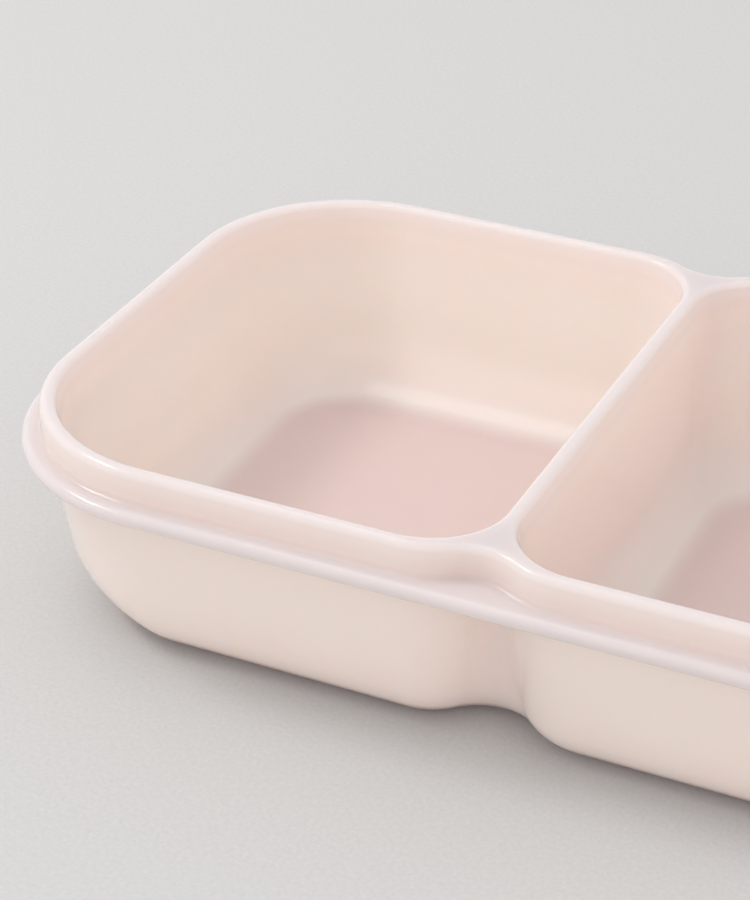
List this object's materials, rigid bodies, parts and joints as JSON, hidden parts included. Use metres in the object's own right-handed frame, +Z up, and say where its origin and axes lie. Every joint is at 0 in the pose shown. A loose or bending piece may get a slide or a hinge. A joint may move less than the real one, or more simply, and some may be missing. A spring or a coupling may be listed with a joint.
{
  "type": "lunch box",
  "caption": "Shallow soft silicone lunch box with rounded ends, a centre divider that pinches the sides in, a flange for the lid to sit on, and its lift-off lid laid beside it.",
  "frame": {"origin": "middle of the container's underside, below the divider", "axes": "+X along the length, from the first compartment across the divider to the second and on towards the lid laid beside it; +Y across the width; +Z up"},
  "size_m": [0.4252, 0.12, 0.04],
  "materials": {
    "box_silicone": "satin",
    "lid_silicone": "satin"
  },
  "bodies": {
    "box": {"container": "box_silicone"},
    "lid": {"lid": "lid_silicone"}
  },
  "joints": [
    {"name": "lid_turnover", "type": "hinge", "parent": "box", "child": "lid", "pos_m": [0.1108, 0, 0.02225], "axis": [0, -1, 0], "range_deg": [0, 180]}
  ]
}
